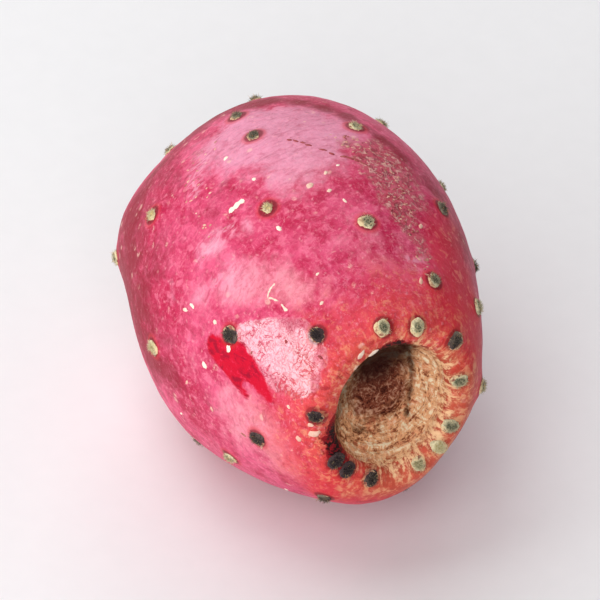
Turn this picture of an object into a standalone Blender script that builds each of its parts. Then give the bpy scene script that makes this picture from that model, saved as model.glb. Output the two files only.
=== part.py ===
"""A ripe prickly pear fruit, as picked, lying on its side with the cup of its flower scar towards +X.

The skin, the woolly areole pads, the flower scar and the cut stem scar grew as one piece, so they are
one solid. It is modelled upright on its own axis, the flower end up, and then laid down on a small flat.
"""

from functools import cache
from math import atan2, cos, exp, pi, radians, sin, sqrt
from random import Random

import bmesh
import bpy
from mathutils import Matrix, Vector
from mathutils.geometry import interpolate_bezier

MM = 0.001

# The turned form: heights run along the fruit's axis from its widest place, the belly
BELLY_RADIUS = 28.0 * MM
BELLY_TO_STEM = 14.5 * MM
STEM_SHOULDER_RADIUS = 24.0 * MM
STEM_SHOULDER_REACH = 33.1 * MM
STEM_REACH = 40.5 * MM
STEM_SCAR_RADIUS = 5.0 * MM
STEM_SCAR_DEPTH = 0.9 * MM
FLOWER_REACH = 36.7 * MM
CROWN_RADIUS = 13.4 * MM
CROWN_ROUNDNESS = 4.3 * MM
BELLY_TO_FLOWER = 14.7 * MM

# The cup that the dropped flower left in the crown
LIP_RADIUS = 10.5 * MM
LIP_DROP = 1.1 * MM
CUP_FLOOR_RADIUS = 5.4 * MM
CUP_DEPTH = 6.6 * MM
CUP_FLOOR_RISE = 0.3 * MM

# How the grown form differs from the turned one, as shares of the radius and bearings round the axis
OVALNESS = 0.059
OVAL_BEARING = radians(74)
OVAL_GAIN_TO_FLOWER = 0.3
LOBING = 0.045
LOBE_BEARING = radians(47)
BEND = 0.5 * MM
GROWTH_SPAN = 35.0 * MM
# Soft bulges and dents: distance back from the lip, bearing in degrees, rise and reach, in millimetres
SOFT_PLACES = ((71, 170, 0.9, 9), (62, 191, -0.9, 8), (43, 216, 0.8, 12), (78, 133, -0.8, 9),
               (12, 265, 0.7, 7), (6, 312, -0.8, 6))

# Areoles: the ring on the crown and those above the resting side stand where the fruit shows them,
# as millimetres back from the lip of the cup along the skin and degrees round the axis, 90 at the top
RING_AREOLES = ((4.7, 94), (3.9, 73), (4.0, 43), (2.0, 12), (2.0, 329), (2.2, 308), (1.7, 287), (1.7, 248),
                (1.9, 225), (2.3, 212), (4.5, 170))
UPPER_AREOLES = ((10, 126), (12, 60), (15, 26), (10, 350), (10, 236), (16, 196), (24, 154), (23, 82),
                 (30, 46), (27, 216), (34, 110), (42, 181), (47, 68), (55, 144), (52, 99), (62, 98),
                 (67, 176))
# The rest climb a golden spiral, and a place is taken where the next areole is far enough away
SPIRAL_PLACES = 240
GOLDEN_ANGLE = pi * (3 - sqrt(5))
SPIRAL_STEM_MARGIN = 7.0 * MM
CROWN_SPACING = 9.0 * MM
BELLY_SPACING = 15.0 * MM

# Each areole is an oval woolly pad on a low mound
PAD_LENGTH = 1.45 * MM
PAD_WIDTH = 1.15 * MM
PAD_HEIGHT = 0.85 * MM
PAD_SUNK = 0.35 * MM
PAD_SPREAD = 0.15
PAD_SIDES = 8
PAD_RINGS = 6
PAD_SEED = 11
CROWN_MOUND = 0.8 * MM
BELLY_MOUND = 0.4 * MM
MOUND_RADIUS = 2.6 * MM
MOUND_BLEND = 3

# How it lies: rolled so that bearing 90 is on top, the flower end raised, on bare skin. Its flat has few
# corners, and the rest of the flat's rim stands a little off the floor, so that the fruit lies still.
LEAN = radians(7.0)
LAID_DOWN = Matrix.Rotation(pi / 2 - LEAN, 4, "Y") @ Matrix.Rotation(pi / 2, 4, "Z")
REST_DEPTH = 0.65 * MM
REST_CLEARANCE = 12.0 * MM
REST_CORNERS = 3
REST_RIM_LIFT = 0.15 * MM
WEIGHT_STANDS = Vector((0.1, 0.9, 0)) * MM

SIDES = 64
SKIN_STEPS = 19
RIM_STEPS = 3
WALL_STEPS = 5
FLOOR_STEPS = 3
DISH_STEPS = 3
LENGTH_SAMPLES = 200
WELD_DISTANCE = 0.02 * MM


def material(name, colour, roughness):
    """A matt or waxy natural surface of one colour."""
    made = bpy.data.materials.new(name)
    made.use_nodes = True
    shader = made.node_tree.nodes["Principled BSDF"]
    shader.inputs["Base Color"].default_value = (*colour, 1)
    shader.inputs["Roughness"].default_value = roughness
    shader.inputs["Metallic"].default_value = 0
    return made


def run(knots, steps):
    """Points as (radius, height) along one curved stretch of the profile, both ends included."""
    start, start_handle, end_handle, end = (Vector((radius, height)) for radius, height in knots)
    return interpolate_bezier(start, start_handle, end_handle, end, steps + 1)


def skin_outline(steps):
    """The skin's profile from the lip of the cup back over the belly to the edge of the stem scar."""
    lip_height = FLOWER_REACH - LIP_DROP
    rim = run((
        (LIP_RADIUS, lip_height),
        (LIP_RADIUS + LIP_DROP / 3, FLOWER_REACH - LIP_DROP / 4),
        (LIP_RADIUS + LIP_DROP, FLOWER_REACH),
        (CROWN_RADIUS, FLOWER_REACH),
    ), min(steps, RIM_STEPS))
    flower_half = run((
        (CROWN_RADIUS, FLOWER_REACH),
        (CROWN_RADIUS + CROWN_ROUNDNESS, FLOWER_REACH),
        (BELLY_RADIUS, BELLY_TO_FLOWER),
        (BELLY_RADIUS, 0),
    ), steps)
    stem_half = run((
        (BELLY_RADIUS, 0),
        (BELLY_RADIUS, -BELLY_TO_STEM),
        (STEM_SHOULDER_RADIUS, -STEM_SHOULDER_REACH),
        (STEM_SCAR_RADIUS, -STEM_REACH),
    ), steps)
    return rim + flower_half[1:] + stem_half[1:]


def cup_outline():
    """The profile of the flower scar, from the middle of its floor up the wall to just short of the lip."""
    floor_height = FLOWER_REACH - CUP_DEPTH
    lip_height = FLOWER_REACH - LIP_DROP
    floor = run((
        (0, floor_height + CUP_FLOOR_RISE),
        (CUP_FLOOR_RADIUS / 2, floor_height + CUP_FLOOR_RISE),
        (CUP_FLOOR_RADIUS * 3 / 4, floor_height),
        (CUP_FLOOR_RADIUS, floor_height),
    ), FLOOR_STEPS)
    wall = run((
        (CUP_FLOOR_RADIUS, floor_height),
        (CUP_FLOOR_RADIUS + CUP_DEPTH / 3, floor_height + CUP_DEPTH / 8),
        (LIP_RADIUS - CUP_DEPTH / 6, lip_height - CUP_DEPTH / 3),
        (LIP_RADIUS, lip_height),
    ), WALL_STEPS)
    return floor + wall[1:-1]


def stem_scar_outline():
    """The profile of the dished cut where the fruit came off its pad, from inside its edge to its middle."""
    dish = run((
        (STEM_SCAR_RADIUS, -STEM_REACH),
        (STEM_SCAR_RADIUS * 3 / 4, -STEM_REACH + STEM_SCAR_DEPTH),
        (STEM_SCAR_RADIUS / 2, -STEM_REACH + STEM_SCAR_DEPTH),
        (0, -STEM_REACH + STEM_SCAR_DEPTH),
    ), DISH_STEPS)
    return dish[1:]


@cache
def measured_skin():
    """The skin's profile in short steps, each point with its distance back from the lip along it."""
    outline = skin_outline(LENGTH_SAMPLES)
    distance = 0
    measured = [(distance, outline[0])]
    for near, far in zip(outline, outline[1:]):
        distance += (far - near).length
        measured.append((distance, far))
    return measured


def turned_skin(distance, bearing):
    """A point of the turned skin, a distance back from the lip and at a bearing round the axis."""
    measured = measured_skin()
    after = next((n for n in range(1, len(measured)) if measured[n][0] >= distance), len(measured) - 1)
    (before_distance, before), (after_distance, beyond) = measured[after - 1], measured[after]
    share = (distance - before_distance) / (after_distance - before_distance)
    radius, height = before.lerp(beyond, share)
    return Vector((radius * cos(bearing), radius * sin(bearing), height))


@cache
def soft_places():
    """Each soft bulge or dent as its middle on the turned skin, its rise and its reach."""
    return [
        (turned_skin(distance * MM, radians(bearing)), rise * MM, reach * MM)
        for distance, bearing, rise, reach in SOFT_PLACES
    ]


def grown(point):
    """Where a point of the turned form sits on the grown fruit: oval, faintly lobed, bent and uneven."""
    bearing = atan2(point.y, point.x)
    along = point.z / GROWTH_SPAN
    oval = OVALNESS * (1 + OVAL_GAIN_TO_FLOWER * along) * cos(2 * (bearing - OVAL_BEARING))
    lobes = LOBING * (1 - along) / 2 * cos(3 * (bearing - LOBE_BEARING))
    swell = 1 + oval + lobes
    rise = 0
    for middle, height, reach in soft_places():
        gap = (point - middle).length / reach
        rise += height * exp(-gap * gap)
    outward = Vector((cos(bearing), sin(bearing), 0)) * rise
    return Vector((point.x * swell + BEND * along * along, point.y * swell, point.z)) + outward


def on_skin(distance, bearing):
    """A point of the grown skin, a distance back from the lip and at a bearing round the axis."""
    return grown(turned_skin(distance, bearing))


def crownness(distance):
    """1 on the crown, falling smoothly to 0 on the belly."""
    return exp(-((distance / BELLY_TO_FLOWER) ** 2))


def mound_height(distance):
    """How high the mound under an areole stands, most on the crown."""
    crown = crownness(distance)
    return CROWN_MOUND * crown + BELLY_MOUND * (1 - crown)


def resting_point(body):
    """The lowest point of the grown skin once the fruit lies down, still in the upright frame."""
    return min((grown(vertex.co) for vertex in body.vertices), key=lambda point: (LAID_DOWN @ point).z)


def areole_places(bare_point):
    """Every areole as its distance back from the lip and its bearing, with none where the fruit rests."""
    shown = [(distance * MM, radians(bearing)) for distance, bearing in RING_AREOLES + UPPER_AREOLES]
    places = list(shown)
    centres = [on_skin(*place) for place in places]
    skin_length = measured_skin()[-1][0]
    first = CROWN_SPACING
    climb = (skin_length - SPIRAL_STEM_MARGIN - first) / SPIRAL_PLACES
    for number in range(SPIRAL_PLACES):
        place = (first + climb * number, number * GOLDEN_ANGLE)
        centre = on_skin(*place)
        crown = crownness(place[0])
        spacing = CROWN_SPACING * crown + BELLY_SPACING * (1 - crown)
        if (centre - bare_point).length < REST_CLEARANCE:
            continue
        if min((centre - other).length for other in centres) > spacing:
            places.append(place)
            centres.append(centre)
    return places


def facing_out(distance, bearing):
    """The skin's outward direction at a place, from two short steps along it."""
    step = 0.2 * MM
    back = on_skin(distance + step, bearing) - on_skin(distance, bearing)
    round_step = step / turned_skin(distance, 0).x
    across = on_skin(distance, bearing + round_step) - on_skin(distance, bearing)
    return back.cross(across).normalized()


def turned_body(name):
    """The plain turned form as a mesh: one outline from cup floor to stem scar, swept round the axis."""
    outline = cup_outline() + skin_outline(SKIN_STEPS) + stem_scar_outline()
    mesh = bpy.data.meshes.new("outline")
    points = [(radius, 0, height) for radius, height in outline]
    edges = [(number, number + 1) for number in range(len(points) - 1)]
    mesh.from_pydata(points, edges, [])
    profile = bpy.data.objects.new("outline", mesh)
    bpy.context.scene.collection.objects.link(profile)
    screw = profile.modifiers.new("sweep", "SCREW")
    screw.axis = "Z"
    screw.angle = 2 * pi
    screw.steps = SIDES
    screw.render_steps = SIDES
    screw.use_merge_vertices = True
    screw.merge_threshold = 0.01 * MM
    evaluated = profile.evaluated_get(bpy.context.evaluated_depsgraph_get())
    body = bpy.data.meshes.new_from_object(evaluated)
    body.name = name
    bpy.data.objects.remove(profile)
    return body


def grow(body, places):
    """Give the turned mesh its grown form, with a low mound under every areole."""
    mounds = [(on_skin(*place), mound_height(place[0])) for place in places]
    shape = bmesh.new()
    shape.from_mesh(body)
    bmesh.ops.recalc_face_normals(shape, faces=shape.faces)
    for vertex in shape.verts:
        vertex.co = grown(vertex.co)
    shape.normal_update()
    for vertex in shape.verts:
        rise = 0
        for centre, height in mounds:
            gap = (vertex.co - centre).length / MOUND_RADIUS
            rise += (height * exp(-gap * gap)) ** MOUND_BLEND
        vertex.co += vertex.normal * rise ** (1 / MOUND_BLEND)
    shape.to_mesh(body)
    shape.free()


def areole_pad(name, distance, bearing, draw, wool):
    """One oval pad of wool, its root sunk in the skin and its long side along the fruit."""
    outward = facing_out(distance, bearing)
    centre = on_skin(distance, bearing) + outward * (mound_height(distance) - PAD_SUNK)
    size = 1 + PAD_SPREAD * draw.uniform(-1, 1)
    stand = outward.to_track_quat("Z", "Y").to_matrix().to_4x4()
    scale = Matrix.Diagonal((PAD_WIDTH * size, PAD_LENGTH * size, PAD_HEIGHT, 1))
    shape = bmesh.new()
    bmesh.ops.create_uvsphere(shape, u_segments=PAD_SIDES, v_segments=PAD_RINGS, radius=1)
    bmesh.ops.transform(shape, matrix=Matrix.Translation(centre) @ stand @ scale, verts=shape.verts)
    mesh = bpy.data.meshes.new(name)
    shape.to_mesh(mesh)
    shape.free()
    mesh.materials.append(wool)
    return bpy.data.objects.new(name, mesh)


def join_pads(fruit, places, wool):
    """Fuse every areole pad into the fruit with one union, and clear the pads away."""
    pads = bpy.data.collections.new("areole pads")
    bpy.context.scene.collection.children.link(pads)
    draw = Random(PAD_SEED)
    for number, (distance, bearing) in enumerate(places):
        pads.objects.link(areole_pad(f"pad {number}", distance, bearing, draw, wool))
    union = fruit.modifiers.new("areoles", "BOOLEAN")
    union.operation = "UNION"
    union.operand_type = "COLLECTION"
    union.collection = pads
    union.solver = "EXACT"
    union.material_mode = "TRANSFER"
    evaluated = fruit.evaluated_get(bpy.context.evaluated_depsgraph_get())
    joined = bpy.data.meshes.new_from_object(evaluated)
    fruit.modifiers.remove(union)
    fruit.data = joined
    for pad in list(pads.objects):
        bpy.data.objects.remove(pad)
    bpy.data.collections.remove(pads)


def few_corners(shape, flat):
    """Keep a few of the flat's corners, spread round the weight, and lift the rest of its rim a little."""
    def bearing(vertex):
        return atan2(vertex.co.y - WEIGHT_STANDS.y, vertex.co.x - WEIGHT_STANDS.x)

    rim = sorted(flat.verts, key=bearing)
    wanted = [-pi + 2 * pi * (number + 0.5) / REST_CORNERS for number in range(REST_CORNERS)]
    corners = [min(rim, key=lambda vertex: abs(bearing(vertex) - angle)) for angle in wanted]
    for here, there in zip(corners, corners[1:] + corners[:1]):
        inner = next(face for face in shape.faces if set(corners) <= set(face.verts))
        if not any(edge.other_vert(here) == there for edge in here.link_edges):
            bmesh.utils.face_split(inner, here, there)
    for vertex in rim:
        if vertex not in corners:
            vertex.co.z += REST_RIM_LIFT


def lay_down(mesh):
    """Lay the fruit on its side, cut its small resting flat and stand the middle of its box on the origin."""
    mesh.transform(LAID_DOWN)
    shape = bmesh.new()
    shape.from_mesh(mesh)
    lowest = min(vertex.co.z for vertex in shape.verts)
    bmesh.ops.translate(shape, verts=shape.verts, vec=(0, 0, -lowest - REST_DEPTH))
    everything = shape.verts[:] + shape.edges[:] + shape.faces[:]
    cut = bmesh.ops.bisect_plane(
        shape, geom=everything, dist=WELD_DISTANCE, plane_co=(0, 0, 0), plane_no=(0, 0, -1), clear_outer=True
    )
    rim = [edge for edge in cut["geom_cut"] if isinstance(edge, bmesh.types.BMEdge)]
    bmesh.ops.contextual_create(shape, geom=rim)
    bmesh.ops.remove_doubles(shape, verts=shape.verts, dist=WELD_DISTANCE)
    bmesh.ops.dissolve_degenerate(shape, edges=shape.edges, dist=WELD_DISTANCE)
    bmesh.ops.recalc_face_normals(shape, faces=shape.faces)
    for axis in (0, 1):
        reach = [vertex.co[axis] for vertex in shape.verts]
        middle = Vector((0, 0, 0))
        middle[axis] = -(min(reach) + max(reach)) / 2
        bmesh.ops.translate(shape, verts=shape.verts, vec=middle)
    few_corners(shape, max(shape.faces, key=lambda face: -face.normal.z * face.calc_area()))
    shape.to_mesh(mesh)
    shape.free()
    mesh.shade_smooth()
    mesh.set_sharp_from_angle(angle=radians(40))


def build_fruit():
    """The whole fruit, one solid in one node."""
    skin = material("waxy pink skin", (0.62, 0.07, 0.16), 0.42)
    wool = material("dark areole wool", (0.05, 0.045, 0.03), 0.95)
    collection = bpy.data.collections.new("prickly_pear_fruit")
    bpy.context.scene.collection.children.link(collection)
    body = turned_body("fruit")
    body.materials.append(skin)
    places = areole_places(resting_point(body))
    grow(body, places)
    fruit = bpy.data.objects.new("fruit", body)
    collection.objects.link(fruit)
    join_pads(fruit, places, wool)
    lay_down(fruit.data)


for leftover in list(bpy.data.objects):
    bpy.data.objects.remove(leftover)

build_fruit()
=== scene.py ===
from bisect import bisect_left
from math import atan, atan2, cos, degrees, exp, pi, radians, sin
from random import Random

import bmesh
import bpy
from mathutils import Matrix, Vector, noise
from mathutils.geometry import interpolate_bezier
from mathutils.kdtree import KDTree


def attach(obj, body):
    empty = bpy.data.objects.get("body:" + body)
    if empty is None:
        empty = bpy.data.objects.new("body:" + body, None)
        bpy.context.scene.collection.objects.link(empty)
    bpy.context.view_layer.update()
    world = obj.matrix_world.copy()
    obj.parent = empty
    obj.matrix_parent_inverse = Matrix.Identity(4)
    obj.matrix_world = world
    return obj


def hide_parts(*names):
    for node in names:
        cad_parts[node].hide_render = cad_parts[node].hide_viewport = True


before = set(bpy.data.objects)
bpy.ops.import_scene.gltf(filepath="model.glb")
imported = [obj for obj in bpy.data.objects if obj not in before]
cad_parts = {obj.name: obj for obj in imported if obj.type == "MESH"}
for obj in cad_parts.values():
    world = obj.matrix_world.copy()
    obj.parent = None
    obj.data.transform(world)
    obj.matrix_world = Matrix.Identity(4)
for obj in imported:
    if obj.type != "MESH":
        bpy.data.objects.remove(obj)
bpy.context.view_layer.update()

# The skin is the rind of a ripe cactus fruit: firm, waxy, pink to crimson under a pale bloom, and coral
# round the scar of its flower. It grew as one closed berry, swollen into a low mound under every areole.

MM = 0.001

# The turned form in millimetres, as curved stretches through (radius, height above the belly)
FLOOR_OF_SCAR = ((0, 30.4), (2.7, 30.4), (4.05, 30.1), (5.4, 30.1))
WALL_OF_SCAR = ((5.4, 30.1), (7.6, 30.925), (9.4, 33.4), (10.5, 35.6))
LIP = ((10.5, 35.6), (10.87, 36.43), (11.6, 36.7), (13.4, 36.7))
FLOWER_HALF = ((13.4, 36.7), (17.7, 36.7), (28, 14.7), (28, 0))
STEM_HALF = ((28, 0), (28, -14.5), (24, -33.1), (5, -40.5))
CUT_STEM = ((5, -40.5), (3.75, -39.6), (2.5, -39.6), (0, -39.6))

OVALNESS = 0.059
OVAL_BEARING = radians(74)
OVAL_GAIN_TO_FLOWER = 0.3
LOBING = 0.045
LOBE_BEARING = radians(47)
BEND = 0.5 * MM
GROWTH_SPAN = 35 * MM
# Soft bulges and dents, as way back from the lip, bearing in degrees, rise and reach
SOFT_PLACES = ((71, 170, 0.9, 9), (62, 191, -0.9, 8), (43, 216, 0.8, 12), (78, 133, -0.8, 9),
               (12, 265, 0.7, 7), (6, 312, -0.8, 6))

# The fruit lies on its side with its flower end a little raised, bearing 90 on top, and stands where its
# solid stands: over the middle of the frame, its underside pressed flat on the floor
LEAN = radians(7)
LAID_DOWN = Matrix.Rotation(pi / 2 - LEAN, 4, "Y") @ Matrix.Rotation(pi / 2, 4, "Z")
STANDING = Matrix.Translation(Vector((0.866, 0.828, 29.432)) * MM) @ LAID_DOWN

# Every areole: way back from the lip, bearing, how pale its wool is, how broad its cork collar is, and the
# side that the collar is widest on, in degrees from the next higher bearing towards the flower end
AREOLES = (
    (4.7, 94, 0.6, 1, 10), (3.9, 73, 0.75, 0.7, 90), (4, 43, 0.15, 0.6, 200), (2, 12, 0.6, 0.5, 270),
    (2, 329, 0.55, 0.4, 0), (2.2, 308, 0.9, 0.6, 90), (1.7, 287, 0.85, 0.7, 180),
    (1.7, 248, 0.1, 0.3, 0), (1.9, 225, 0, 0, 0), (2.3, 212, 0, 0, 0), (4.5, 170, 0.05, 0.2, 30),
    (10, 126, 0, 0.2, 0), (12, 60, 0.4, 0.7, 20), (15, 26, 0.6, 0.6, 300), (10, 350, 0.6, 0.7, 90),
    (10, 236, 0.2, 0.4, 300), (16, 196, 0.1, 0.3, 0), (24, 154, 0.12, 0.2, 200),
    (23, 82, 0.65, 0.9, 340), (30, 46, 0.2, 0.6, 250), (27, 216, 0.8, 0.5, 0), (34, 110, 1, 0.5, 40),
    (42, 181, 0.9, 0.5, 90), (47, 68, 0.7, 0.7, 20), (55, 144, 0.95, 0.6, 60), (52, 99, 0.3, 0.6, 10),
    (62, 98, 0.35, 0.6, 0), (67, 176, 0.7, 0.4, 90), (16.5, 283, 0.3, 0.5, 120),
    (21.6, 323, 0.15, 0.6, 30), (31.7, 266, 0.5, 0.4, 200), (33.6, 11, 0.25, 0.7, 300),
    (36.9, 306, 0.6, 0.5, 90), (44.3, 228, 0.35, 0.5, 10), (46.3, 333, 0.15, 0.6, 160),
    (47.2, 26, 0.55, 0.7, 80), (57.9, 244, 0.65, 0.4, 230), (58.9, 296, 0.3, 0.5, 20),
    (59.9, 349, 0.45, 0.6, 120), (60.9, 41, 0.6, 0.5, 10), (71.6, 259, 0.5, 0.4, 60),
    (72.5, 312, 0.35, 0.6, 210), (76.1, 24, 0.65, 0.4, 0), (77.1, 77, 0.4, 0.5, 90),
    (77.4, 214, 0.55, 0.4, 150), (78, 129, 0.45, 0.6, 40),
)
CROWN_REACH = 14.7
CROWN_MOUND = 0.8
BELLY_MOUND = 0.4
MOUND_RADIUS = 2.6
MOUND_SPAN = 8
MOUND_BLEND = 3


def along(stretches, steps=160):
    """The points of some stretches of the profile, end to end, each with the way walked to it."""
    walked = []
    for stretch in stretches:
        points = interpolate_bezier(*(Vector(knot) for knot in stretch), steps)
        for point in points:
            way = walked[-1][0] + (point - walked[-1][1]).length if walked else 0
            walked.append((way, point))
    return walked


walked_scar = along((FLOOR_OF_SCAR, WALL_OF_SCAR))
walked_skin = along((LIP, FLOWER_HALF, STEM_HALF))
walked_cut = along((CUT_STEM,))
SCAR_WAY = walked_scar[-1][0]
SKIN_WAY = walked_skin[-1][0]
CUT_WAY = walked_cut[-1][0]
walked = [(way - SCAR_WAY, point) for way, point in walked_scar] + walked_skin[1:]
walked += [(way + SKIN_WAY, point) for way, point in walked_cut[1:]]
ways = [way for way, _ in walked]


def turned(way, bearing):
    """A point of the turned form in metres, some way back from the lip; below 0 lies inside the scar."""
    after = min(max(bisect_left(ways, way), 1), len(walked) - 1)
    (near, before), (far, beyond) = walked[after - 1], walked[after]
    share = (way - near) / (far - near) if far > near else 0
    radius, height = before.lerp(beyond, share) * MM
    return Vector((radius * cos(bearing), radius * sin(bearing), height))


soft_places = [(turned(way, radians(bearing)), rise, reach) for way, bearing, rise, reach in SOFT_PLACES]


def grown(point):
    """Where a point of the turned form sits on the grown fruit: oval, faintly lobed, bent and uneven."""
    bearing = atan2(point.y, point.x)
    height = point.z / GROWTH_SPAN
    oval = OVALNESS * (1 + OVAL_GAIN_TO_FLOWER * height) * cos(2 * (bearing - OVAL_BEARING))
    lobes = LOBING * (1 - height) / 2 * cos(3 * (bearing - LOBE_BEARING))
    swell = 1 + oval + lobes
    rise = 0
    for middle, most, reach in soft_places:
        gap = (point - middle).length / (reach * MM)
        rise += most * MM * exp(-gap * gap)
    outward = Vector((cos(bearing), sin(bearing), 0)) * rise
    return Vector((point.x * swell + BEND * height * height, point.y * swell, point.z)) + outward


def on_skin(way, bearing):
    """A point of the grown skin, from its way back and its bearing in degrees."""
    return grown(turned(way, radians(bearing)))


def mound_height(way):
    """How high the mound under an areole stands, most on the crown."""
    crown = exp(-((way / CROWN_REACH) ** 2))
    return (CROWN_MOUND * crown + BELLY_MOUND * (1 - crown)) * MM


def tree_of(points):
    """The points in a tree that finds those near a place quickly."""
    tree = KDTree(len(points))
    for number, point in enumerate(points):
        tree.insert(point, number)
    tree.balance()
    return tree


areole_tree = tree_of([on_skin(way, bearing) for way, bearing, *_ in AREOLES])


def mounds_at(point):
    """How far the areoles' mounds lift a point of the skin."""
    lift = 0
    for _, number, gap in areole_tree.find_range(point, MOUND_SPAN * MM):
        share = gap / (MOUND_RADIUS * MM)
        lift += (mound_height(AREOLES[number][0]) * exp(-share * share)) ** MOUND_BLEND
    return lift ** (1 / MOUND_BLEND)


def ring_tube(ring_ways, sides):
    """A tube with one ring for each way, still to be shaped: its x and y turn, its z is the way."""
    shape = bmesh.new()
    bmesh.ops.create_cone(shape, cap_ends=False, segments=sides, radius1=1, radius2=1, depth=2)
    walls = [edge for edge in shape.edges if abs(edge.verts[0].co.z - edge.verts[1].co.z) > 1]
    bmesh.ops.subdivide_edges(shape, edges=walls, cuts=len(ring_ways) - 2, use_grid_fill=True)
    # The ways run down the fruit and the cone's rings run up, so its faces are turned to point outwards
    bmesh.ops.reverse_faces(shape, faces=shape.faces)
    turn = shape.verts.layers.float_vector.new("turn")
    for corner in shape.verts:
        corner.co.z = ring_ways[round((corner.co.z + 1) / 2 * (len(ring_ways) - 1))]
        corner[turn] = corner.co
    return shape


def marked(corners, tree, layer, places):
    """Keep at each corner how far soft-edged patches cover it, from (way, bearing, reach, strength)."""
    for way, bearing, reach, strength in places:
        reach *= MM
        for _, number, gap in tree.find_range(on_skin(way, bearing), 3 * reach):
            bare = (1 - corners[number][layer]) * (1 - strength * exp(-((gap / reach) ** 2)))
            corners[number][layer] = 1 - bare


def join(shape, part):
    """Put a small mesh in with a large one, which is quicker than making it there."""
    mesh = bpy.data.meshes.new("part")
    part.to_mesh(mesh)
    part.free()
    shape.from_mesh(mesh)
    bpy.data.meshes.remove(mesh)


def finish_piece(name, shape, material, smooth=True):
    """Lay a finished mesh down in its place on the fruit, as a piece of the one body."""
    bmesh.ops.transform(shape, matrix=STANDING, verts=shape.verts)
    # What would reach below the floor is pressed flat on it
    for corner in shape.verts:
        corner.co.z = max(corner.co.z, 0)
    mesh = bpy.data.meshes.new(name)
    shape.to_mesh(mesh)
    shape.free()
    if smooth:
        mesh.shade_smooth()
    mesh.materials.append(material)
    piece = bpy.data.objects.new(name, mesh)
    bpy.context.scene.collection.objects.link(piece)
    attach(piece, "root")
    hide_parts("fruit")


def tint(red, green, blue):
    """A colour as seen, 0 to 255 a channel, made ready for a shader."""
    return tuple(((channel / 255 + 0.055) / 1.055) ** 2.4 for channel in (red, green, blue)) + (1,)


class Socket:
    """One output of a shader's nodes, so that shader maths reads as plain expressions."""

    def __init__(self, finish, socket):
        self.finish = finish
        self.socket = socket

    def maths(self, operation, *values):
        """One Math node on this output and others."""
        return self.finish.node("ShaderNodeMath", {"operation": operation}, dict(enumerate(values)))

    def __add__(self, other):
        return self.maths("ADD", self, other)

    __radd__ = __add__

    def __sub__(self, other):
        return self.maths("SUBTRACT", self, other)

    def __rsub__(self, other):
        return self.maths("SUBTRACT", other, self)

    def __mul__(self, other):
        return self.maths("MULTIPLY", self, other)

    __rmul__ = __mul__

    def __abs__(self):
        return self.maths("ABSOLUTE", self)

    def between(self, low, high):
        """0 at low, 1 at high and smooth between them; the two may stand either way round."""
        settings = {"interpolation_type": "SMOOTHSTEP"}
        return self.finish.node("ShaderNodeMapRange", settings, {0: self, 1: low, 2: high, 3: 0, 4: 1})

    def clamped(self):
        """Held between 0 and 1."""
        return self.finish.node("ShaderNodeClamp", {}, {0: self, 1: 0, 2: 1})


class Finish:
    """A material of shader nodes, with one method that adds any node."""

    def __init__(self, name):
        self.material = bpy.data.materials.new(name)
        self.material.use_nodes = True
        self.tree = self.material.node_tree
        self.shader = self.tree.nodes["Principled BSDF"]

    def node(self, kind, settings, values, output=0):
        """A node's output, its settings set first and then the values or links of its sockets."""
        made = self.tree.nodes.new(kind)
        for name, setting in settings.items():
            setattr(made, name, setting)
        for name, value in values.items():
            self.feed(made.inputs[name], value)
        return Socket(self, made.outputs[output])

    def feed(self, socket, value):
        """Link an output to a socket, or set the socket's own value."""
        if isinstance(value, Socket):
            self.tree.links.new(value.socket, socket)
        else:
            socket.default_value = value

    def surface(self, **values):
        """Feed the shader's sockets, named in small letters."""
        for name, value in values.items():
            self.feed(self.shader.inputs[name.replace("_", " ").title()], value)

    def kept(self, name):
        """A number kept at each corner of the mesh."""
        return self.node("ShaderNodeAttribute", {"attribute_name": name}, {}, "Fac")

    def kept_vector(self, name):
        """A vector kept at each corner of the mesh."""
        return self.node("ShaderNodeAttribute", {"attribute_name": name}, {}, "Vector")

    def part(self, vector, axis):
        """A vector's part along one axis: 0, 1 or 2."""
        return self.node("ShaderNodeSeparateXYZ", {}, {0: vector}, axis)

    def millimetres(self):
        """Object coordinates counted in millimetres."""
        place = self.node("ShaderNodeTexCoord", {}, {}, "Object")
        return self.placed(place, (1 / MM, 1 / MM, 1 / MM))

    def placed(self, place, scale=(1, 1, 1), turn=(0, 0, 0), shift=(0, 0, 0)):
        """A place stretched, turned and shifted, for a pattern that runs its own way."""
        values = {"Vector": place, "Scale": scale, "Rotation": turn, "Location": shift}
        return self.node("ShaderNodeMapping", {}, values)

    def clouds(self, place, size, detail=2.0, roughness=0.5, distortion=0.0):
        """Soft noise whose lumps are about size across."""
        values = {"Vector": place, "Scale": 1 / size, "Detail": detail, "Roughness": roughness}
        values["Distortion"] = distortion
        return self.node("ShaderNodeTexNoise", {}, values)

    def cells(self, place, size):
        """How far a place lies from the middle of its cell, in cells about size across."""
        return self.node("ShaderNodeTexVoronoi", {}, {"Vector": place, "Scale": 1 / size}, "Distance")

    def mix(self, one, other, share):
        """A colour turned into another by a share."""
        values = {0: share, 6: one, 7: other}
        return self.node("ShaderNodeMix", {"data_type": "RGBA"}, values, 2)

    def washed(self, colour, *washes):
        """A colour with others laid over it in turn, each by its own share."""
        for wash, share in washes:
            colour = self.mix(colour, wash, share)
        return colour

    def bump(self, height, distance):
        """Fine relief, its height from 0 to 1 standing for a distance."""
        return self.node("ShaderNodeBump", {}, {"Height": height, "Distance": distance})


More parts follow.
